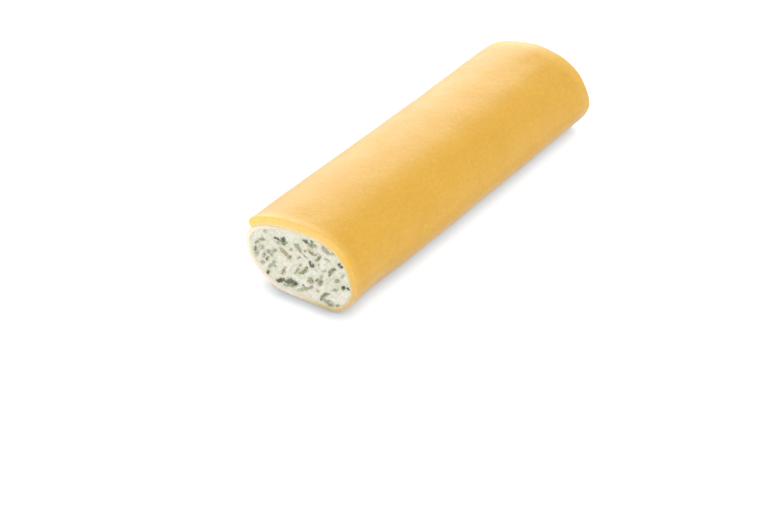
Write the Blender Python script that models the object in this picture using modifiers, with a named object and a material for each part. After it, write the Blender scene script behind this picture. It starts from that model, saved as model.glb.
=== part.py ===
"""Cannelloni: one sheet of egg pasta rolled round a ricotta and spinach filling.

The roll lies along Y on its flattened underside, with its front end at -Y. The sheet
starts under its own lap at the top left, goes down the left side, under the filling,
up the right side and over the top, and ends at the free edge of the lap. Both ends
are cut square, so the filling shows there inside the rim of pasta.
"""

import math

import bmesh
import bpy
import numpy as np

# Driving dimensions, in metres.
LENGTH = 0.120  # the cut length, along Y
SHEET = 0.0020  # thickness of the cooked pasta sheet
GAP = 0.0003  # free space between the layers, and between pasta and filling
LAP = 0.0100  # how far the sheet covers its own inner end
SETTLE = 0.0240  # beyond that end, the way in which the outer layer comes down again
RIM_ROUND = 0.0004  # rounding of the sheet's cut edges

# The roll under the lap is a squarish oval, settled on a flat underside.
HALF_WIDTH = 0.0178
OVAL_CENTRE = 0.00015  # X of its middle, so that the leaning roll is centred as a whole
CROWN = 0.0209  # height of its top over the table
WIDEST = 0.0095  # height at which it is widest
SAG = 0.0022  # how far the oval would reach below the table
FLAT_EASE = 0.0005  # height over which the side rounds into the flat underside
LEVEL = 0.0003  # what comes this near the table lies flat on it
TOP_SQUARENESS = 3.0  # 2 is an ellipse, more is squarer
BOTTOM_SQUARENESS = 1.75
LEAN = -0.18  # sideways shift for each step up from the widest height
TILT = 0.20  # share by which the crown is higher at the right than in the middle
LAP_START = 0.0087  # way up the left side from the widest point to the free edge of the lap

# How the soft roll departs from a straight one.
SWELL = 0.010  # share by which width and height wander along the length
END_PINCH = 0.018  # share of the height lost where the blade pressed each end
PINCH_REACH = 0.004  # how far in from an end that pressing is felt
EDGE_WANDER = 0.0005  # how far the free edge wanders from a straight line

# Fineness of the faceted solids.
SHEET_COLUMNS = 66
FILLING_COLUMNS = 60
BODY_RINGS = 11
END_RINGS = (0.0012, 0.0026, 0.0046)  # distances from each end, where the pinch is
OVAL_POINTS = 900

PASTA_COLOUR = (0.83, 0.52, 0.11, 1.0)
RICOTTA_COLOUR = (0.80, 0.79, 0.69, 1.0)


def start_empty_scene():
    for old in list(bpy.data.objects):
        bpy.data.objects.remove(old)


def make_collection(name):
    collection = bpy.data.collections.new(name)
    bpy.context.scene.collection.children.link(collection)
    return collection


def make_material(name, colour, roughness):
    material = bpy.data.materials.new(name)
    material.use_nodes = True
    shader = material.node_tree.nodes["Principled BSDF"]
    shader.inputs["Base Color"].default_value = colour
    shader.inputs["Roughness"].default_value = roughness
    shader.inputs["Metallic"].default_value = 0.0
    return material


def oval():
    """The roll under its lap, as a closed XZ polyline running clockwise from the widest point at the left."""
    turn = math.pi - np.linspace(0.0, 2 * math.pi, OVAL_POINTS + 1)
    across, up = np.cos(turn), np.sin(turn)
    power = 2 / np.where(up > 0, TOP_SQUARENESS, BOTTOM_SQUARENESS)
    across = HALF_WIDTH * np.sign(across) * np.abs(across) ** power
    reach = np.where(up > 0, (CROWN - WIDEST) * (1 + TILT * across / HALF_WIDTH), WIDEST + SAG)
    height = reach * np.sign(up) * np.abs(up) ** power
    x = OVAL_CENTRE + across + LEAN * height
    z = WIDEST + height
    eased = (z + FLAT_EASE) ** 2 / (4 * FLAT_EASE)
    z = np.where(z < -FLAT_EASE, 0.0, np.where(z < FLAT_EASE, eased, z))
    return np.stack([x, z], axis=1)


def distances(line):
    """How far along the polyline each of its points is."""
    return np.concatenate([[0.0], np.cumsum(np.linalg.norm(np.diff(line, axis=0), axis=1))])


def on_oval(way, offset):
    """The points at these ways round the oval, clockwise from the lap's free edge, moved outwards by offset."""
    line = oval()
    along = distances(line)
    way = np.asarray(way, float) + LAP_START
    spot, ahead, behind = (
        np.stack([np.interp((way + step) % along[-1], along, line[:, k]) for k in (0, 1)], axis=-1)
        for step in (0.0, SHEET / 4, -SHEET / 4)
    )
    run = ahead - behind
    run /= np.linalg.norm(run, axis=-1)[..., None]
    return spot + np.stack([-run[..., 1], run[..., 0]], axis=-1) * np.asarray(offset)[..., None]


def girth():
    return distances(oval())[-1]


def lap_rise(way):
    """How far the outer face stands off the oval: one layer over the covered end, then less and less."""
    fall = np.clip((way - LAP) / SETTLE, 0.0, 1.0)
    return np.where(way < girth() / 2, (SHEET + GAP) * (1 - fall**2 * (3 - 2 * fall)), 0.0)


def filling_loop():
    """The space inside the rolled sheet as a closed loop, with a step at the sheet's inner end."""
    start = LAP + GAP
    way = np.linspace(start, start + girth(), 400)
    loop = on_oval(way, lap_rise(way) - SHEET - GAP)
    return np.vstack([loop, loop[0]])


def settled(x, y, z):
    """Where a point of a straight roll lies in the soft one. The flat underside stays a straight strip."""
    along = 2 * math.pi * y / LENGTH
    from_end = LENGTH / 2 - abs(y)
    pinch = END_PINCH * math.exp(-((from_end / PINCH_REACH) ** 2))
    free = min(max(z, 0.0) / WIDEST, 1.0)
    wide = 1 + free * (SWELL * math.sin(1.3 * along + 0.7) - pinch / 2)
    high = 1 + SWELL * math.cos(0.9 * along - 0.5) - pinch
    return x * wide, y, z * high


def ring_positions():
    """Places along Y of the rings of points, closer together near the two ends."""
    half = LENGTH / 2
    ends = [half - step for step in (0.0, *END_RINGS)]
    body = np.linspace(-ends[-1], ends[-1], BODY_RINGS + 2)[1:-1]
    return np.array([-end for end in ends] + list(body) + ends[::-1])


def add_object(name, mesh, material, collection):
    mesh.materials.append(material)
    mesh.shade_smooth()
    obj = bpy.data.objects.new(name, mesh)
    collection.objects.link(obj)
    return obj


def make_pasta_sheet(material, collection):
    """The rolled sheet: a flat grid is wound round the oval as its outer face, and Solidify thickens it inwards."""
    rings = ring_positions()
    reach = girth() + LAP
    bm = bmesh.new()
    bmesh.ops.create_grid(bm, x_segments=SHEET_COLUMNS, y_segments=len(rings) - 1, size=0.5)
    for vert in bm.verts:
        y = float(rings[round((vert.co.y + 0.5) * (len(rings) - 1))])
        free_edge = EDGE_WANDER * (1 + math.sin(5 * math.pi * y / LENGTH + 0.4))
        way = free_edge + (vert.co.x + 0.5) * (reach - free_edge)
        x, z = on_oval(way, lap_rise(way))
        vert.co = settled(float(x), y, float(z) if z > LEVEL else 0.0)
    mesh = bpy.data.meshes.new("pasta_sheet")
    bm.to_mesh(mesh)
    bm.free()
    sheet = add_object("pasta_sheet", mesh, material, collection)
    thicken = sheet.modifiers.new("thickness", "SOLIDIFY")
    thicken.thickness = SHEET
    thicken.offset = -1.0
    thicken.use_even_offset = True
    rounding = sheet.modifiers.new("rounded cut edges", "BEVEL")
    rounding.width = RIM_ROUND
    rounding.segments = 2
    rounding.limit_method = "ANGLE"
    rounding.angle_limit = math.radians(50)
    return sheet


def make_filling(material, collection):
    """The ricotta and spinach core: a cylinder whose rings are moved onto the space inside the sheet."""
    loop = filling_loop()
    along = distances(loop)
    rings = ring_positions()
    bm = bmesh.new()
    bmesh.ops.create_cone(
        bm, cap_ends=True, cap_tris=False, segments=FILLING_COLUMNS, radius1=1.0, radius2=1.0, depth=1.0
    )
    sides = [edge for edge in bm.edges if abs(edge.verts[0].co.z - edge.verts[1].co.z) > 0.5]
    bmesh.ops.subdivide_edges(bm, edges=sides, cuts=len(rings) - 2, use_grid_fill=True)
    for vert in bm.verts:
        turn = math.atan2(vert.co.y, vert.co.x) / (2 * math.pi) % 1.0
        y = float(rings[round((vert.co.z + 0.5) * (len(rings) - 1))])
        x, z = (float(np.interp(turn * along[-1], along, loop[:, k])) for k in (0, 1))
        vert.co = settled(x, y, z)
    bmesh.ops.recalc_face_normals(bm, faces=bm.faces)
    mesh = bpy.data.meshes.new("filling")
    bm.to_mesh(mesh)
    bm.free()
    filling = add_object("filling", mesh, material, collection)
    mesh.set_sharp_from_angle(angle=math.radians(50))
    return filling


def main():
    start_empty_scene()
    collection = make_collection("cannelloni")
    make_pasta_sheet(make_material("egg_pasta", PASTA_COLOUR, 0.38), collection)
    make_filling(make_material("ricotta_and_spinach", RICOTTA_COLOUR, 0.6), collection)


main()
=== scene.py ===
import math
import random

import bmesh
import bpy
import numpy as np
from mathutils import Matrix, Vector, noise


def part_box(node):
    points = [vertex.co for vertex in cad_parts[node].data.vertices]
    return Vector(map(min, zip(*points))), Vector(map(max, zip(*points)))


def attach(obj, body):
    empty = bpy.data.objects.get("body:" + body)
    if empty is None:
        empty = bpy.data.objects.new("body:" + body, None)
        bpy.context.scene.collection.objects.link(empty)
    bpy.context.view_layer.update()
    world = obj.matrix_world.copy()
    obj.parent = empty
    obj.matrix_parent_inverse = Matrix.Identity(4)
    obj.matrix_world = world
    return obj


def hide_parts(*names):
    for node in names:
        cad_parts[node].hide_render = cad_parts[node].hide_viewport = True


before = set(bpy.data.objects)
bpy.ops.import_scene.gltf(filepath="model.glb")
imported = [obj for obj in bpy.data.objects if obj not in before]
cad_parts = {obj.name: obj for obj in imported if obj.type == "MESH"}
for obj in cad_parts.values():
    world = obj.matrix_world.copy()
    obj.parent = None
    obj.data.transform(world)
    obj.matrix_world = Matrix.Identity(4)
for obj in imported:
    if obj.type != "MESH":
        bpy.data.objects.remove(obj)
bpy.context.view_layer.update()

# ---------------------------------------------------------------------------
# The pasta sheet. Fresh egg pasta, rolled out 2 mm thick, cooked, and wound once round
# the filling with a lap of 10 mm on the upper left. Its own moisture glues the lap
# down, and a blade has cut the roll square at both ends, which rounds the cut edges.

MM = 0.001
sheet_low, sheet_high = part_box("pasta_sheet")
LENGTH = sheet_high.y - sheet_low.y
HALF_WIDTH = 17.8 * MM
OVAL_CENTRE = 0.15 * MM
CROWN = 20.9 * MM  # top of the roll under the lap
WIDEST = 9.5 * MM  # height of the widest place
SAG = 2.2 * MM  # how far the soft underside would reach below the table
FLAT_EASE = 0.9 * MM
TOP_SQUARENESS = 3.0
BOTTOM_SQUARENESS = 1.75
LEAN = -0.18
TILT = 0.20
LAP_START = 8.7 * MM  # from the widest place at the left up to the free edge
LAP = 10.0 * MM
LAYER = 2.3 * MM  # one layer of dough, where the lap lies on the inner end
SETTLE = 24.0 * MM
BLADE_ROUND = 0.8 * MM  # how far back from the cut the blade rounded the sheet's outer edge
INNER_ROUND = 0.2 * MM
FRONT_PAINTED_GLOW = 3.0 * MM  # how far the cut's paler colour reaches over the skin at the front end, as painted light
# how far the same painted light reaches over the skin at the far end
BACK_PAINTED_GLOW = 6.0 * MM
EDGE_ROUND = 1.0 * MM  # the free edge rounds over this width
BACK_SKEW = 0.03  # how far off square the blade cut the far end


def oval_line(points=2400):
    """The roll under its lap, clockwise from the widest place at the left, as seen from the front end."""
    turn = math.pi - np.linspace(0.0, 2 * math.pi, points + 1)
    across, up = np.cos(turn), np.sin(turn)
    power = 2 / np.where(up > 0, TOP_SQUARENESS, BOTTOM_SQUARENESS)
    across = HALF_WIDTH * np.sign(across) * np.abs(across) ** power
    reach = np.where(up > 0, (CROWN - WIDEST) * (1 + TILT * across / HALF_WIDTH), WIDEST + SAG)
    height = reach * np.sign(up) * np.abs(up) ** power
    x = OVAL_CENTRE + across + LEAN * height
    z = WIDEST + height
    eased = (z + FLAT_EASE) ** 2 / (4 * FLAT_EASE)
    return np.stack([x, np.where(z < -FLAT_EASE, 0.0, np.where(z < FLAT_EASE, eased, z))], axis=1)


def distances(line):
    return np.concatenate([[0.0], np.cumsum(np.linalg.norm(np.diff(line, axis=0), axis=1))])


oval = oval_line()
oval_way = distances(oval)
GIRTH = oval_way[-1]
SHEET_WIDTH = GIRTH + LAP


def round_the_roll(way):
    """XZ points and outward directions at these ways round the oval, clockwise from the free edge of the lap."""
    way = np.asarray(way, float) + LAP_START
    spot, ahead, behind = (
        np.stack([np.interp((way + step) % GIRTH, oval_way, oval[:, k]) for k in (0, 1)], axis=-1)
        for step in (0.0, 0.5 * MM, -0.5 * MM)
    )
    run = ahead - behind
    run /= np.linalg.norm(run, axis=-1)[..., None]
    return spot, np.stack([-run[..., 1], run[..., 0]], axis=-1)


def smooth_step(value, start, end):
    share = np.clip((value - start) / (end - start), 0.0, 1.0)
    return share * share * (3 - 2 * share)


def lap_rise(way):
    """How far the outer face stands off the oval."""
    return np.where(way < GIRTH / 2, LAYER * (1 - smooth_step(way, LAP, LAP + SETTLE)), 0.0)


# The dough at places round the roll, as way, thickness, how deep the blade rounded its
# edge, and the colour of its cut face. It is full and yellow over the top and the right,
# pressed thinner under the roll's weight, and drawn out towards the covered inner end,
# where it is pale with whey. The cut colours also hold painted light, which makes them paler
# than the dough, and painted shade, which darkens them at the lower right and underneath.
DOUGH = [
    (0, 2.45, 0.60, "#F6D46E"), (12, 2.60, 0.60, "#F5CC76"), (22, 2.65, 0.60, "#EFC872"), (32, 2.45, 0.50, "#E8BB4E"),
    (40, 2.10, 0.40, "#DFB45A"), (48, 1.60, 0.25, "#CDB383"), (56, 1.50, 0.15, "#CDB880"), (62, 1.45, 0.15, "#E3D2B0"),
    (68, 1.45, 0.15, "#ECE1CD"), (78, 1.45, 0.15, "#F1DAC6"), (86, 1.45, 0.25, "#F8EED2"), (94, 1.40, 0.30, "#FCEACB"),
    (99, 1.20, 0.15, "#FAE2C8"), (105, 0.45, 0.15, "#F6DEC0"),
]

WHEY_SOAKED = "#F3DFBE"  # the dough next to the filling


def dough(way, column):
    """The thickness (1) or the rounding (2) of the dough at these ways."""
    return np.interp(way / MM, [row[0] for row in DOUGH], [row[column] for row in DOUGH]) * MM


def lay_down(x, y, z):
    """From a straight roll to the soft one: it swells and narrows a little along its length."""
    along = 2 * math.pi * y / LENGTH
    front_flare = 0.006 * np.exp(-(((y + LENGTH / 2) / (2.5 * MM)) ** 2))
    back_droop = 0.008 * np.exp(-(((LENGTH / 2 - y) / (2.5 * MM)) ** 2))
    back_rise = 0.030 * smooth_step(y, 15 * MM, LENGTH / 2)
    askew = -BACK_SKEW * x * smooth_step(y, 0.0, LENGTH / 2) * np.clip((z - 4 * MM) / (8 * MM), -0.5, 1.0)
    waist = 1.0 * MM * np.exp(-(((y + 48 * MM) / (10 * MM)) ** 2)) * smooth_step(x, 8 * MM, 15 * MM)
    back_end = smooth_step(y, 40 * MM, LENGTH / 2)
    bulge = 0.80 * MM * back_end * smooth_step(x, 6 * MM, 14 * MM) * np.exp(-(((z - 11 * MM) / (4 * MM)) ** 2))
    hump = 0.40 * MM * back_end * np.exp(-(((x + 0.5 * MM) / (4 * MM)) ** 2))
    hump = (hump - 0.30 * MM * back_end * np.exp(-(((x - 12 * MM) / (3 * MM)) ** 2))) * smooth_step(z, 0.0, CROWN)
    free = np.clip(z / WIDEST, 0.0, 1.0)
    wide = 1 + free * (0.003 * np.sin(1.3 * along + 0.7) + front_flare - back_droop)
    high = 1 + 0.003 * np.cos(0.9 * along - 0.5) + back_rise + front_flare - back_droop
    return np.stack([x * wide + bulge - waist * np.exp(-(((z - 6 * MM) / (5 * MM)) ** 2)), y + askew, z * high + hump], axis=-1)


def rim_profile(half_length, inner_steps):
    """The sheet cut lengthwise, round its section: place along, share of the thickness, rounding, and share of the cut
    colour, which near each end is also laid over the skin as painted light.
    """
    corner = np.linspace(0.0, math.pi / 2, 6)[1:]
    flat_end = half_length - BLADE_ROUND
    near_end = 9 * MM
    stations = np.concatenate([
        -flat_end + near_end * np.linspace(0, 1, 28)[:-1] ** 1.3,
        np.linspace(near_end - flat_end, flat_end - near_end, 150),
        flat_end - near_end * np.linspace(1, 0, 28)[1:] ** 1.3,
    ])
    # Near each end the skin takes part of the cut colour as painted light.
    rows = [
        (place, 0.0, 0.0, 0.45 * smooth_step(abs(place), flat_end - (FRONT_PAINTED_GLOW if place < 0 else BACK_PAINTED_GLOW), flat_end))
        for place in stations
    ]
    rim = [(flat_end + BLADE_ROUND * math.sin(a), 0.0, 1 - math.cos(a), 0.45 + 0.55 * math.sin(a)) for a in corner]
    rim += [(half_length, share, 1 - share, 1.0) for share in (0.2, 0.4, 0.6, 0.8, 0.95)]
    rim += [(half_length - INNER_ROUND, 1.0, 0.0, 1.0)]
    rows += rim
    rows += [(place, 1.0, 0.0, 1.0) for place in np.linspace(half_length - 3 * MM, 3 * MM - half_length, inner_steps)]
    rows += [(-place, share, rounding, cut) for place, share, rounding, cut in reversed(rim)]
    return np.array(rows).T


def grainy(points, size, seed):
    """Soft noise between -1 and 1 at these points, with lumps of this size."""
    shift = Vector((seed * 7.1, seed * 3.3, seed * 5.7))
    return np.array([noise.noise(Vector(p) / size + shift) for p in points])


def closed_tube(name, columns):
    """A mesh over columns of points, each a closed loop, with its first and last columns capped."""
    count, around = columns.shape[:2]
    first = np.arange(count * around).reshape(count, around)
    after = np.roll(first, -1, axis=1)
    sides = np.stack([first[:-1], after[:-1], after[1:], first[1:]], axis=-1).reshape(-1, 4)
    faces = sides.tolist() + [first[0, ::-1].tolist(), first[-1].tolist()]
    mesh = bpy.data.meshes.new(name)
    mesh.from_pydata(columns.reshape(-1, 3).tolist(), [], faces)
    return finish_mesh(mesh)


def finish_mesh(mesh):
    """Turns the faces out, shades them smooth and puts the mesh in the scene as a piece."""
    bm = bmesh.new()
    bm.from_mesh(mesh)
    bmesh.ops.recalc_face_normals(bm, faces=bm.faces)
    bm.to_mesh(mesh)
    bm.free()
    mesh.shade_smooth()
    piece = bpy.data.objects.new(mesh.name, mesh)
    bpy.context.scene.collection.objects.link(piece)
    return piece


def linear(hex_colour):
    """An sRGB hex colour as linear red, green, blue and alpha."""
    parts = [int(hex_colour[i:i + 2], 16) / 255 for i in (1, 3, 5)]
    return (*[c / 12.92 if c <= 0.04045 else ((c + 0.055) / 1.055) ** 2.4 for c in parts], 1.0)


def paint(piece, name, values):
    """Gives every point of the piece a number that its material reads."""
    piece.data.attributes.new(name, "FLOAT", "POINT").data.foreach_set("value", np.ravel(values))


# The free edge was trimmed by hand: how far it reaches over, at places along the roll.
FREE_EDGE = [
    (-60, 0.7), (-56, 1.0), (-52, 1.6), (-46, 2.2), (-40, 2.3), (-34, 1.8), (-26, 1.2), (-16, 0.7), (-4, 0.6),
    (10, 0.6), (24, 0.6), (34, 0.8), (42, 1.1), (48, 1.4), (54, 1.3), (60, 0.8),
]


def make_sheet():
    seen = np.linspace(2.0 * MM, SHEET_WIDTH - 2.0 * MM, 300)
    edge = 2.0 * MM * np.linspace(0.0, 1.0, 9)[:-1] ** 1.6
    ways = np.concatenate([edge, seen, SHEET_WIDTH - edge[::-1]])
    y, share, rounding, cut = rim_profile(LENGTH / 2, 8)
    way = ways[:, None] + 0 * y[None, :]
    edge_line = np.interp(y / MM, [row[0] for row in FREE_EDGE], [row[1] for row in FREE_EDGE]) * MM
    edge_line += 0.08 * MM * np.sin(19 * math.pi * y / LENGTH)
    way = way - edge_line[None, :] * (1 - smooth_step(way, 0.0, 12 * MM))
    spot, out = round_the_roll(way)
    thick = dough(way, 1)
    free_round = np.clip(1 - ways / EDGE_ROUND, 0.0, 1.0)[:, None]
    drop = 1 - np.sqrt(1 - free_round**2)  # 0 on the sheet, 1 at the free edge
    outer = lap_rise(way) - 0.30 * thick * drop - dough(way, 2) * rounding[None, :]
    inner = lap_rise(way) - thick * (1 - 0.08 * drop)
    offset = outer + (inner - outer) * share[None, :]
    points = np.stack([
        spot[..., 0] + out[..., 0] * offset,
        np.broadcast_to(y[None, :], way.shape),
        spot[..., 1] + out[..., 1] * offset,
    ], axis=-1)
    flat = points.reshape(-1, 3)
    outward = np.stack([out[..., 0], 0 * way, out[..., 1]], axis=-1).reshape(-1, 3)
    relief = 0.12 * MM * grainy(flat, 14 * MM, 1) + 0.04 * MM * grainy(flat, 5 * MM, 2) + 0.02 * MM * grainy(flat, 2 * MM, 3)
    free = smooth_step(flat[:, 2], 0.0, 3 * MM)
    flat = flat + outward * (relief * free)[:, None]
    laid = lay_down(*flat.T)
    laid[:, 2] = np.maximum(laid[:, 2], 0.0)
    piece = closed_tube("egg_pasta_sheet", laid.reshape(points.shape))
    # The share of the cut colour, laid over the skin near each end as painted light.
    paint(piece, "cut_and_painted_glow", np.broadcast_to(cut[None, :], way.shape))
    wet = 0.5 * smooth_step(share, 0.45, 1.0)[None, :]
    # The cut colour round the roll, with its painted light and shade, eased towards the whey-soaked colour on the inner
    # side.
    for k, name in enumerate(("cut_red", "cut_green", "cut_blue")):
        dough_colour = np.interp(way / MM, [row[0] for row in DOUGH], [linear(row[3])[k] for row in DOUGH])
        paint(piece, name, dough_colour + (linear(WHEY_SOAKED)[k] - dough_colour) * wet)
    return piece


def add_node(tree, kind, settings=None, **inputs):
    """Adds a node, with its settings, and its inputs as values or as sockets to link from."""
    node = tree.nodes.new(kind)
    for key, value in (settings or {}).items():
        setattr(node, key, value)
    for key, value in inputs.items():
        socket = node.inputs[int(key[1:])] if key[0] == "i" and key[1:].isdigit() else node.inputs[key.replace("_", " ")]
        if isinstance(value, bpy.types.NodeSocket):
            tree.links.new(value, socket)
        else:
            socket.default_value = value
    return node


def new_material(name):
    material = bpy.data.materials.new(name)
    material.use_nodes = True
    tree = material.node_tree
    tree.nodes.clear()
    return material, tree


def finish_material(tree, shader):
    output = tree.nodes.new("ShaderNodeOutputMaterial")
    tree.links.new(shader.outputs[0], output.inputs["Surface"])


def cooked_egg_pasta():
    """Cooked egg pasta: yolk-yellow dough, a little see-through, with a moist satin skin and pale semolina grains."""
    material, tree = new_material("cooked_egg_pasta")
    place = add_node(tree, "ShaderNodeTexCoord").outputs["Object"]
    blotch = add_node(tree, "ShaderNodeTexNoise", Vector=place, Scale=1 / 0.009, Detail=3.0, Roughness=0.55)
    skin = add_node(tree, "ShaderNodeMix", {"data_type": "RGBA"}, i0=blotch.outputs["Fac"],
                    i6=linear("#D5A12A"), i7=linear("#E0AE3C"))
    # Grains of semolina, 0.3 to 0.6 mm, which stay paler than the dough about them.
    semolina = add_node(tree, "ShaderNodeTexVoronoi", Vector=place, Scale=1 / 0.0016)
    grain_near = add_node(tree, "ShaderNodeMapRange", i0=semolina.outputs["Distance"], i1=0.08, i2=0.34, i3=1.0, i4=0.0)
    some = add_node(tree, "ShaderNodeSeparateColor", i0=semolina.outputs["Color"])
    shown = add_node(tree, "ShaderNodeMapRange", i0=some.outputs[0], i1=0.45, i2=1.0, i3=0.0, i4=0.30)
    speck = add_node(tree, "ShaderNodeMath", {"operation": "MULTIPLY"}, i0=grain_near.outputs[0], i1=shown.outputs[0])
    speckled = add_node(tree, "ShaderNodeMix", {"data_type": "RGBA"}, i0=speck.outputs[0],
                        i6=skin.outputs[2], i7=linear("#EBC778"))
    # Painted shade: the skin darkens towards the table, from 11 mm above it down to 1 mm.
    height = add_node(tree, "ShaderNodeSeparateXYZ", i0=place)
    painted_foot_shade = add_node(tree, "ShaderNodeMapRange", i0=height.outputs[2], i1=0.001, i2=0.011, i3=0.85, i4=0.0)
    foot_shaded_colour = add_node(tree, "ShaderNodeMix", {"data_type": "RGBA"}, i0=painted_foot_shade.outputs[0],
                    i6=speckled.outputs[2], i7=linear("#B07E14"))
    # The blade's cut shows the inside of the dough, whose colour is painted round the roll together with painted light
    # and painted shade; near each end this colour is also laid over the skin as painted light.
    cut, *cut_colour_channels = (
        add_node(tree, "ShaderNodeAttribute", {"attribute_name": name}).outputs["Fac"]
        for name in ("cut_and_painted_glow", "cut_red", "cut_green", "cut_blue")
    )
    crumb = add_node(tree, "ShaderNodeCombineColor", i0=cut_colour_channels[0], i1=cut_colour_channels[1], i2=cut_colour_channels[2])
    colour = add_node(tree, "ShaderNodeMix", {"data_type": "RGBA"}, i0=cut,
                      i6=foot_shaded_colour.outputs[2], i7=crumb.outputs[0])
    mealy = add_node(tree, "ShaderNodeTexNoise", Vector=place, Scale=1 / 0.0011, Detail=3.0, Roughness=0.65)
    mealiness = add_node(tree, "ShaderNodeMapRange", i0=mealy.outputs["Fac"], i1=0.3, i2=0.7, i3=0.94, i4=1.05)
    colour = add_node(tree, "ShaderNodeMix", {"data_type": "RGBA", "blend_type": "MULTIPLY"}, i0=1.0,
                      i6=colour.outputs[2], i7=mealiness.outputs[0])
    pebble = add_node(tree, "ShaderNodeTexNoise", Vector=place, Scale=1 / 0.0013, Detail=2.0, Roughness=0.5)
    bump = add_node(tree, "ShaderNodeBump", Strength=0.35, Distance=0.00011, Height=pebble.outputs["Fac"])
    moist = add_node(tree, "ShaderNodeTexNoise", Vector=place, Scale=1 / 0.006, Detail=2.0, Roughness=0.5)
    gloss = add_node(tree, "ShaderNodeMapRange", i0=moist.outputs["Fac"], i1=0.3, i2=0.7, i3=0.30, i4=0.40)
    shader = add_node(tree, "ShaderNodeBsdfPrincipled", Base_Color=colour.outputs[2], Roughness=gloss.outputs[0],
                      IOR=1.45, Subsurface_Weight=0.35, Subsurface_Scale=0.0015, Subsurface_Radius=(1.0, 0.55, 0.2),
                      Normal=bump.outputs[0])
    finish_material(tree, shader)
    return material


pasta_sheet = make_sheet()
pasta_sheet.data.materials.append(cooked_egg_pasta())
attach(pasta_sheet, "root")
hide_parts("pasta_sheet")

# ---------------------------------------------------------------------------
# The filling. Fresh ricotta, drained and worked with salt and cooked spinach, piped
# along the sheet before it is rolled. It is one moist, crumbly core that fills the
# roll to its wall, and the blade has cut it flush with the pasta.

PRESS_IN = 0.12 * MM  # how far the soft core presses into the wall
RECESS = 0.10 * MM  # how far the cut core stands back from the cut pasta
FACE_RINGS = 60  # rings of points from the middle of a cut face to its edge
CORE_MIDDLE = np.array([0.3, 10.8]) * MM
BLADE_ANGLE = math.radians(52)  # the way the blade dragged over the cut faces, up from the table
BLADE_TURN = Matrix.Rotation(-BLADE_ANGLE, 3, "Y")


def core_outline(turn):
    """XZ points of the core's outline, clockwise from the covered end of the sheet at turn 0 round to it at 1."""
    way = LAP + 0.1 * MM + turn * (GIRTH - 0.2 * MM)
    spot, out = round_the_roll(way)
    inner = lap_rise(way) - dough(way, 1) + PRESS_IN
    return spot + out * inner[..., None]


def face_height(across, up, side):
    """Height of the cut face: curds of 1 to 2 mm, dragged by the blade, with pits where crumbs tore out."""
    here = Vector((across / MM, 10 * side, up / MM))
    curd = 0.5 - noise.voronoi(here / 1.4)[0][0]
    crumb = 0.5 - noise.voronoi(here / 0.6)[0][0]
    broad = noise.noise(here / 4.5)
    dragged = here @ BLADE_TURN
    drag = noise.noise(Vector((dragged.x / 2.6, dragged.y, dragged.z / 0.6)))
    pit = max(0.0, noise.noise(here / 1.9) - 0.20)
    return MM * (0.30 * curd + 0.16 * crumb + 0.20 * broad + 0.14 * drag - 1.1 * pit)


def make_filling():
    """Both cut faces are square rings of points drawn out to the core's outline; plain rings join them."""
    steps = np.arange(-FACE_RINGS, FACE_RINGS + 1)
    i, j = (grid.ravel() for grid in np.meshgrid(steps, steps, indexing="ij"))
    ring = np.maximum(np.abs(i), np.abs(j))
    bottom, right, top = (j == -ring) & (i < ring), (i == ring) & (j < ring), (j == ring) & (i > -ring)
    walk = np.select([bottom, right, top], [i + ring, 3 * ring + j, 5 * ring - i], 7 * ring - j) % np.maximum(8 * ring, 1)
    share = (ring / FACE_RINGS)[:, None]
    outline = core_outline(walk / np.maximum(8 * ring, 1))
    face = CORE_MIDDLE + (outline - CORE_MIDDLE) * share
    calm = 1 - smooth_step(share[:, 0], 0.88, 1.0)
    layers = []
    for side in (-1, 1):
        height = np.array([face_height(across, up, side) for across, up in face]) * calm - RECESS
        layers.append(lay_down(face[:, 0], side * (LENGTH / 2 + height), face[:, 1]))
    edge = np.flatnonzero(ring == FACE_RINGS)
    edge = edge[np.argsort(walk[edge])]
    hoops = [edge]
    for k, y in enumerate(np.linspace(1.5 * MM - LENGTH / 2, LENGTH / 2 - 1.5 * MM, 14)):
        layers.append(lay_down(face[edge, 0], y, face[edge, 1]))
        hoops.append(2 * len(face) + k * len(edge) + np.arange(len(edge)))
    hoops = np.array(hoops + [edge + len(face)])
    after = np.roll(hoops, -1, axis=1)
    sides = np.stack([hoops[:-1], after[:-1], after[1:], hoops[1:]], axis=-1).reshape(-1, 4)
    grid = np.arange(len(face)).reshape(len(steps), len(steps))
    cells = np.stack([grid[:-1, :-1], grid[1:, :-1], grid[1:, 1:], grid[:-1, 1:]], axis=-1).reshape(-1, 4)
    mesh = bpy.data.meshes.new("ricotta_filling")
    mesh.from_pydata(np.concatenate(layers).tolist(), [], np.concatenate([cells, cells + len(face), sides]).tolist())
    return finish_mesh(mesh)


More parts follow.
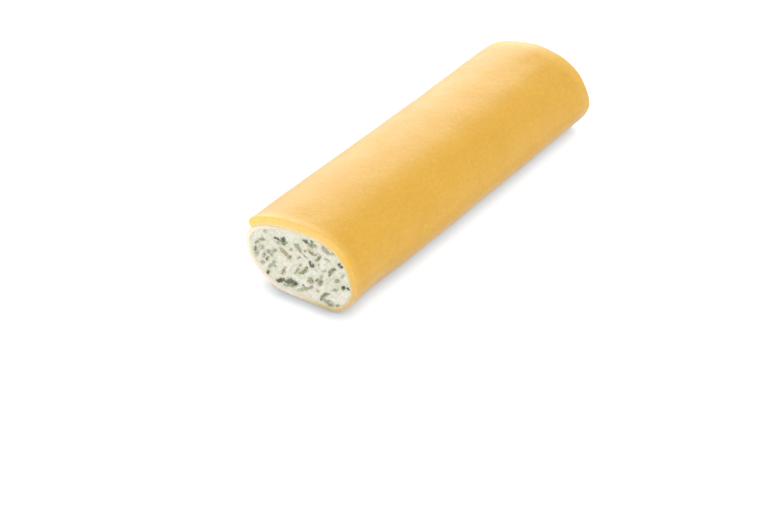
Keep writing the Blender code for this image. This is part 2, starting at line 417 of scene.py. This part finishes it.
def ricotta():
    """Fresh ricotta: ivory whey cheese, crumbly and moist, stained grey-green where spinach lies under the face."""
    material, tree = new_material("ricotta")
    place = add_node(tree, "ShaderNodeTexCoord").outputs["Object"]
    stain = add_node(tree, "ShaderNodeAttribute", {"attribute_name": "spinach_stain"}).outputs["Fac"]
    cloud = add_node(tree, "ShaderNodeTexNoise", Vector=place, Scale=1 / 0.0028, Detail=3.0, Roughness=0.6)
    curd = add_node(tree, "ShaderNodeTexNoise", Vector=place, Scale=1 / 0.0008, Detail=3.0, Roughness=0.6)
    along_blade = add_node(tree, "ShaderNodeMapping", {"vector_type": "TEXTURE"}, Vector=place,
                           Rotation=(0.0, -BLADE_ANGLE, 0.0), Scale=(3.5, 1.0, 1.0))
    streak = add_node(tree, "ShaderNodeTexNoise", Vector=along_blade.outputs[0], Scale=1 / 0.0007, Detail=2.0)
    whey = add_node(tree, "ShaderNodeMapRange", i0=cloud.outputs["Fac"], i1=0.42, i2=0.66, i3=0.0, i4=0.55)
    tinge = add_node(tree, "ShaderNodeTexNoise", Vector=place, Scale=1 / 0.0035, Detail=1.0)
    warmth = add_node(tree, "ShaderNodeMapRange", i0=tinge.outputs["Fac"], i1=0.35, i2=0.65, i3=0.0, i4=1.0)
    curds = add_node(tree, "ShaderNodeMix", {"data_type": "RGBA"}, i0=warmth.outputs[0],
                     i6=linear("#DFE1C9"), i7=linear("#E8DFD2"))
    body = add_node(tree, "ShaderNodeMix", {"data_type": "RGBA"}, i0=whey.outputs[0],
                    i6=curds.outputs[2], i7=linear("#CECAB2"))
    mottled = add_node(tree, "ShaderNodeMath", {"operation": "MULTIPLY_ADD"}, i0=curd.outputs["Fac"], i1=0.7, i2=0.55)
    green = add_node(tree, "ShaderNodeMath", {"operation": "MULTIPLY"}, i0=stain, i1=mottled.outputs[0])
    stained = add_node(tree, "ShaderNodeMix", {"data_type": "RGBA"}, i0=green.outputs[0],
                       i6=body.outputs[2], i7=linear("#6A6E55"))
    smear = add_node(tree, "ShaderNodeMapRange", i0=streak.outputs["Fac"], i1=0.50, i2=0.72, i3=0.0, i4=0.35)
    smeared = add_node(tree, "ShaderNodeMix", {"data_type": "RGBA"}, i0=smear.outputs[0],
                       i6=stained.outputs[2], i7=linear("#B7B69A"))
    light = add_node(tree, "ShaderNodeMapRange", i0=curd.outputs["Fac"], i1=0.47, i2=0.70, i3=0.0, i4=0.7)
    colour = add_node(tree, "ShaderNodeMix", {"data_type": "RGBA"}, i0=light.outputs[0],
                      i6=smeared.outputs[2], i7=linear("#ECE9DB"))
    bump = add_node(tree, "ShaderNodeBump", Strength=0.8, Distance=0.00018, Height=curd.outputs["Fac"])
    shader = add_node(tree, "ShaderNodeBsdfPrincipled", Base_Color=colour.outputs[2], Roughness=0.50, IOR=1.38,
                      Subsurface_Weight=0.25, Subsurface_Scale=0.001, Subsurface_Radius=(1.0, 0.9, 0.7),
                      Normal=bump.outputs[0])
    finish_material(tree, shader)
    return material


filling = make_filling()
filling.data.materials.append(ricotta())
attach(filling, "root")
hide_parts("filling")

# ---------------------------------------------------------------------------
# The spinach. Boiled, squeezed dry and chopped, it is worked into the ricotta. Shreds of
# dark outer leaf, of greener inner leaf and of stalk show where the blade passed, half
# sunk in the cheese, and their juice stains it round about.

# The larger shreds in the front face: right, up, length and width in millimetres, and the turn in degrees.
DARK_LEAF = [
    (-7.6, 16.0, 2.8, 1.5, 24), (-5.6, 16.7, 2.0, 1.3, 40), (1.9, 19.0, 2.0, 1.0, 24), (3.6, 19.2, 1.8, 0.9, 8),
    (3.1, 12.9, 0.9, 0.6, 68), (3.7, 12.2, 1.5, 1.1, 12), (12.3, 15.8, 1.7, 1.0, 66), (13.0, 15.2, 1.3, 0.8, 40),
    (13.9, 9.0, 1.7, 1.1, 50), (15.2, 9.3, 1.3, 0.6, -28), (-4.4, 4.1, 2.2, 1.2, 34), (-2.4, 4.7, 2.8, 1.3, -14),
    (-7.0, 3.5, 2.3, 1.1, 38), (-6.1, 3.9, 1.8, 1.0, 14), (-10.8, 4.5, 1.5, 0.8, 58),
]
GREEN_LEAF = [
    (10.3, 12.8, 3.7, 0.8, 52), (1.1, 9.6, 3.9, 0.8, 50), (7.6, 4.0, 3.7, 0.8, 50), (5.6, 14.9, 2.2, 0.8, 54),
    (6.5, 7.9, 1.8, 0.8, 66), (5.2, 8.2, 1.4, 0.7, 60), (-11.0, 8.7, 1.7, 0.8, 62), (-15.0, 10.4, 1.8, 0.7, 76),
    (-3.6, 12.0, 1.5, 0.7, 50), (-14.2, 12.7, 1.5, 0.7, 40), (-2.9, 3.3, 1.6, 0.7, 38), (4.2, 18.3, 2.0, 0.9, 30),
    (-4.9, 15.7, 1.8, 0.8, 44),
]
STALK = [
    (3.6, 16.0, 2.4, 0.8, -18), (2.9, 7.2, 2.0, 1.3, 62), (9.6, 2.0, 1.9, 0.8, 20), (11.9, 2.6, 1.8, 0.8, 38),
    (1.2, 3.9, 2.4, 0.8, 24), (10.7, 18.4, 1.6, 0.9, 42), (11.7, 10.4, 1.5, 0.9, 45), (-12.0, 9.3, 1.8, 0.9, 56),
    (-1.3, 8.5, 2.2, 0.5, 60), (-6.1, 6.2, 1.6, 0.5, 62), (-5.2, 12.9, 3.2, 0.9, -24), (-0.5, 15.6, 3.4, 1.0, -30),
    (8.3, 18.4, 2.8, 0.8, -32),
]
# Leaf just under the front face, which shows only as a soft stain through the ricotta.
UNDER_LEAF = [
    (-5.5, 13.2, 2.9, 1.1, -22), (-0.9, 16.2, 3.2, 1.3, -28), (8.3, 18.6, 2.8, 1.1, -30), (11.0, 7.3, 2.2, 1.0, 26),
    (-12.8, 14.1, 2.6, 0.9, 18), (-12.6, 7.0, 1.8, 1.2, 42), (-11.3, 17.2, 1.8, 0.9, 30), (-13.0, 11.6, 2.6, 1.4, 46),
    (6.7, 9.8, 2.4, 0.8, 70), (-8.5, 12.1, 2.6, 1.1, 48), (-3.2, 14.4, 2.0, 0.6, 50), (7.9, 12.0, 1.8, 0.6, 50),
    (-5.6, 7.4, 2.6, 0.7, 56), (-8.8, 8.4, 2.0, 0.8, 50), (-0.9, 12.6, 1.2, 0.4, 52), (13.6, 12.6, 2.0, 0.6, 50),
    (3.2, 5.1, 2.2, 1.0, 40), (-9.6, 10.4, 2.2, 0.8, 52), (8.8, 15.8, 2.0, 0.6, -24), (1.4, 14.2, 2.2, 0.6, -26),
    (3.6, 18.4, 3.2, 1.6, 20), (-6.4, 15.6, 3.6, 1.4, 26), (-2.6, 4.0, 3.0, 1.8, 10), (9.4, 12.4, 1.6, 0.6, 50),
    (2.9, 7.2, 2.4, 1.6, 60), (8.6, 2.6, 3.4, 1.0, 20), (-14.6, 9.4, 2.6, 1.4, 80), (-0.3, 2.8, 2.2, 0.9, 20),
    (-10.4, 11.3, 2.2, 1.4, 40), (5.9, 7.4, 2.2, 1.4, 60), (-10.0, 6.8, 3.0, 1.0, 50), (-4.4, 2.9, 2.6, 1.0, 30),
]
SHRED_THICKNESS = 0.35 * MM
FRONT, BACK = -1, 1
strewing = random.Random(11)


def strewn(count, longest, widest):
    """Shreds strewn over a cut face, as right, up, length, width and turn: most lie along or across the blade's drag."""
    shreds = []
    for _ in range(count):
        share = 0.94 * math.sqrt(strewing.random())
        across, up = (CORE_MIDDLE + (core_outline(np.array(strewing.random())) - CORE_MIDDLE) * share) / MM
        length = longest * strewing.uniform(0.35, 1.0)
        width = min(length, widest * strewing.uniform(0.6, 1.0))
        shreds.append((across, up, length, width, strewing.choice((52, 52, -24)) + strewing.gauss(0, 16)))
    return shreds


def add_shred(bm, side, right, up, length, width, turn):
    """One ragged, crumpled flake, laid flat in the cut face and half sunk in it; cheese is smeared over its rim."""
    smeared = bm.verts.layers.float["smeared_rim"]
    shift = Vector([strewing.uniform(-50, 50) for _ in range(3)])
    bend = strewing.uniform(-0.25, 0.25)
    sink = strewing.uniform(-0.08, 0.02) * MM
    turn = math.radians(turn)
    seat = LENGTH / 2 - RECESS + face_height(right * MM, up * MM, side) - sink
    for vert in bmesh.ops.create_icosphere(bm, subdivisions=3 if length > 1.3 else 2, radius=1.0)["verts"]:
        unit = vert.co.copy()
        ragged = 1 + 0.35 * noise.noise(unit * 1.4 + shift) + 0.30 * noise.noise(unit * 3.5 + shift)
        along = math.copysign(abs(unit.x) ** 0.7, unit.x) * ragged * length / 2
        over = math.copysign(abs(unit.z) ** 0.7, unit.z) * ragged * width / 2
        over += bend * length * (unit.x**2 - 0.4)
        crumple = 0.20 * noise.noise(Vector((along, over, 0.0)) * 1.6 + shift)
        across = right + along * math.cos(turn) - over * math.sin(turn)
        height = up + along * math.sin(turn) + over * math.cos(turn)
        y = side * (seat + unit.y * SHRED_THICKNESS / 2 * ragged + crumple * MM)
        vert[smeared] = math.hypot(unit.x, unit.z)
        vert.co = lay_down(across * MM, y, height * MM)


def make_shreds(name, front, back):
    bm = bmesh.new()
    bm.verts.layers.float.new("smeared_rim")
    for side, shreds in ((FRONT, front), (BACK, back)):
        for shred in shreds:
            add_shred(bm, side, *shred)
    mesh = bpy.data.meshes.new(name)
    bm.to_mesh(mesh)
    bm.free()
    return finish_mesh(mesh)


def boiled_leaf(name, deep, fresh, roughness):
    """Boiled spinach: limp and wet, dark where it is folded and fresher where single, with ricotta on its rim."""
    material, tree = new_material(name)
    place = add_node(tree, "ShaderNodeTexCoord").outputs["Object"]
    fold = add_node(tree, "ShaderNodeTexNoise", Vector=place, Scale=1 / 0.0009, Detail=4.0, Roughness=0.65)
    thin = add_node(tree, "ShaderNodeMapRange", i0=fold.outputs["Fac"], i1=0.38, i2=0.66, i3=0.0, i4=1.0)
    leaf = add_node(tree, "ShaderNodeMix", {"data_type": "RGBA"}, i0=thin.outputs[0], i6=linear(deep), i7=linear(fresh))
    rim = add_node(tree, "ShaderNodeAttribute", {"attribute_name": "smeared_rim"}).outputs["Fac"]
    crumbly = add_node(tree, "ShaderNodeTexNoise", Vector=place, Scale=1 / 0.0005, Detail=2.0)
    uneven = add_node(tree, "ShaderNodeMath", {"operation": "MULTIPLY_ADD"}, i0=crumbly.outputs["Fac"], i1=0.8, i2=rim)
    film = add_node(tree, "ShaderNodeMapRange", i0=uneven.outputs[0], i1=1.05, i2=1.60, i3=0.0, i4=0.65)
    colour = add_node(tree, "ShaderNodeMix", {"data_type": "RGBA"}, i0=film.outputs[0],
                      i6=leaf.outputs[2], i7=linear("#C9C7AC"))
    vein = add_node(tree, "ShaderNodeTexNoise", Vector=place, Scale=1 / 0.0004, Detail=1.0, Roughness=0.5)
    bump = add_node(tree, "ShaderNodeBump", Strength=0.4, Distance=0.0001, Height=vein.outputs["Fac"])
    shader = add_node(tree, "ShaderNodeBsdfPrincipled", Base_Color=colour.outputs[2], Roughness=roughness, IOR=1.4,
                      Normal=bump.outputs[0])
    finish_material(tree, shader)
    return material


def stain_the_cheese(under, deep, shown):
    """Paints the cut faces by the leaf that lies just under each point or deeper, and by the juice of what shows."""
    spots = np.empty(3 * len(filling.data.vertices))
    filling.data.vertices.foreach_get("co", spots)
    spots = spots.reshape(-1, 3) / MM
    stain = np.zeros(len(spots))
    for side in (FRONT, BACK):
        on_face = spots[:, 1] * side > (LENGTH / 2) / MM - 1.3
        for shreds, strength, reach in ((under[side], 0.90, 0.1), (deep[side], 0.25, 0.0), (shown[side], 0.30, 0.5)):
            for right, up, length, width, turn in shreds:
                turn = math.radians(turn)
                across, above = spots[:, 0] - right, spots[:, 2] - up
                along = across * math.cos(turn) + above * math.sin(turn)
                over = above * math.cos(turn) - across * math.sin(turn)
                away = np.hypot(along / (length / 2 + reach), over / (width / 2 + reach))
                stain = np.maximum(stain, on_face * strength * (1 - smooth_step(away, 0.3, 1.4)))
    paint(filling, "spinach_stain", stain)


front_shreds = {
    "dark": DARK_LEAF + strewn(1, 0.8, 0.4),
    "green": GREEN_LEAF + strewn(6, 1.1, 0.4),
    "stalk": STALK + strewn(9, 1.2, 0.4),
}
back_shreds = {
    "dark": strewn(15, 3.0, 1.2) + strewn(3, 0.8, 0.4),
    "green": strewn(13, 4.0, 1.0) + strewn(8, 1.1, 0.4),
    "stalk": strewn(10, 2.6, 1.0) + strewn(10, 1.2, 0.4),
}
for kind, name, deep, fresh, roughness in (
    ("dark", "boiled_dark_leaf", "#3B3F31", "#7E846A", 0.36),
    ("green", "boiled_green_leaf", "#6B7448", "#B0B684", 0.40),
    ("stalk", "boiled_stalk", "#928A67", "#C4BC9A", 0.44),
):
    shreds = make_shreds("spinach_" + kind, front_shreds[kind], back_shreds[kind])
    shreds.data.materials.append(boiled_leaf(name, deep, fresh, roughness))
    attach(shreds, "root")
stain_the_cheese(
    {FRONT: UNDER_LEAF, BACK: strewn(28, 3.4, 1.4)},
    {side: strewn(70, 2.6, 0.7) for side in (FRONT, BACK)},
    {FRONT: sum(front_shreds.values(), []), BACK: sum(back_shreds.values(), [])},
)

# ---------------------------------------------------------------------------
# The table: a sheet of white acrylic lit from below, which reaches far past the roll. Its glow
# is dimmed into a narrow painted shadow where the roll touches it.

bpy.ops.mesh.primitive_plane_add(size=8.0)
table = bpy.context.object
table.name = "white_table"
table_material, table_tree = new_material("white_acrylic")
# Painted shadow: the sheet's glow is dimmed by occlusion leaning to the right and to the left, and the shadow shows
# where both are shut off.
open_side = []
for across in (0.66, -0.55):
    leaning = add_node(table_tree, "ShaderNodeCombineXYZ", X=across, Y=0.42, Z=0.60)
    open_air = add_node(table_tree, "ShaderNodeAmbientOcclusion", {"samples": 16}, Distance=0.0044,
                        Normal=leaning.outputs[0])
    open_side.append(open_air.outputs["AO"])
open_most = add_node(table_tree, "ShaderNodeMath", {"operation": "MAXIMUM"}, i0=open_side[0], i1=open_side[1])
deepened = add_node(table_tree, "ShaderNodeMath", {"operation": "POWER"}, i0=open_most.outputs[0], i1=1.2)
# Painted shadow: the glow falls from 0.95 in the open to 0.04 where the sheet is shut in.
glow_with_painted_shadow = add_node(table_tree, "ShaderNodeMapRange", i0=deepened.outputs[0], i1=0.0, i2=1.0, i3=0.04, i4=0.95)
finish_material(table_tree, add_node(
    table_tree, "ShaderNodeBsdfPrincipled", Base_Color=linear("#54585E"), Roughness=0.6,
    Emission_Color=(1.0, 1.0, 1.0, 1.0), Emission_Strength=glow_with_painted_shadow.outputs[0],
))
table.data.materials.append(table_material)

# ---------------------------------------------------------------------------
# The light: a white tent all round, a large soft panel behind on the left and a weaker one in front.

scene = bpy.context.scene
world = bpy.data.worlds.new("white_tent")
world.use_nodes = True
world.node_tree.nodes["Background"].inputs["Color"].default_value = (0.98, 0.99, 1.0, 1.0)
world.node_tree.nodes["Background"].inputs["Strength"].default_value = 1.0
scene.world = world


def soft_panel(name, azimuth, elevation, distance, size, radiance):
    """A square area light that faces the roll; its power is worked out from the brightness of its face."""
    light = bpy.data.lights.new(name, "AREA")
    light.shape = "SQUARE"
    light.size = size
    light.energy = radiance * math.pi * size * size
    panel = bpy.data.objects.new(name, light)
    azimuth, elevation = math.radians(azimuth), math.radians(elevation)
    panel.location = distance * Vector((
        math.sin(azimuth) * math.cos(elevation), -math.cos(azimuth) * math.cos(elevation), math.sin(elevation)
    ))
    panel.rotation_euler = panel.location.to_track_quat("Z", "Y").to_euler()
    scene.collection.objects.link(panel)
    return panel


soft_panel("panel_behind_left", 220, 20, 2.0, 1.4, 2.05)
soft_panel("panel_front_right", 32, 50, 2.0, 1.2, 1.6)

# ---------------------------------------------------------------------------
# The camera: low over the front end, from its right.

CAMERA_AZIMUTH = math.radians(34.69)
CAMERA_ELEVATION = math.radians(34.0)
CAMERA_DISTANCE = 0.5560
AIM_RIGHT = -12.37 * MM
AIM_UP = -18.77 * MM

camera_data = bpy.data.cameras.new("camera")
camera_data.lens = 91.55
camera = bpy.data.objects.new("camera", camera_data)
back = Vector((
    math.sin(CAMERA_AZIMUTH) * math.cos(CAMERA_ELEVATION),
    -math.cos(CAMERA_AZIMUTH) * math.cos(CAMERA_ELEVATION),
    math.sin(CAMERA_ELEVATION),
))
turned = back.to_track_quat("Z", "Y")
camera.rotation_euler = turned.to_euler()
camera.location = back * CAMERA_DISTANCE + turned @ Vector((AIM_RIGHT, AIM_UP, 0.0))
scene.collection.objects.link(camera)
scene.camera = camera
scene.view_settings.view_transform = "Standard"
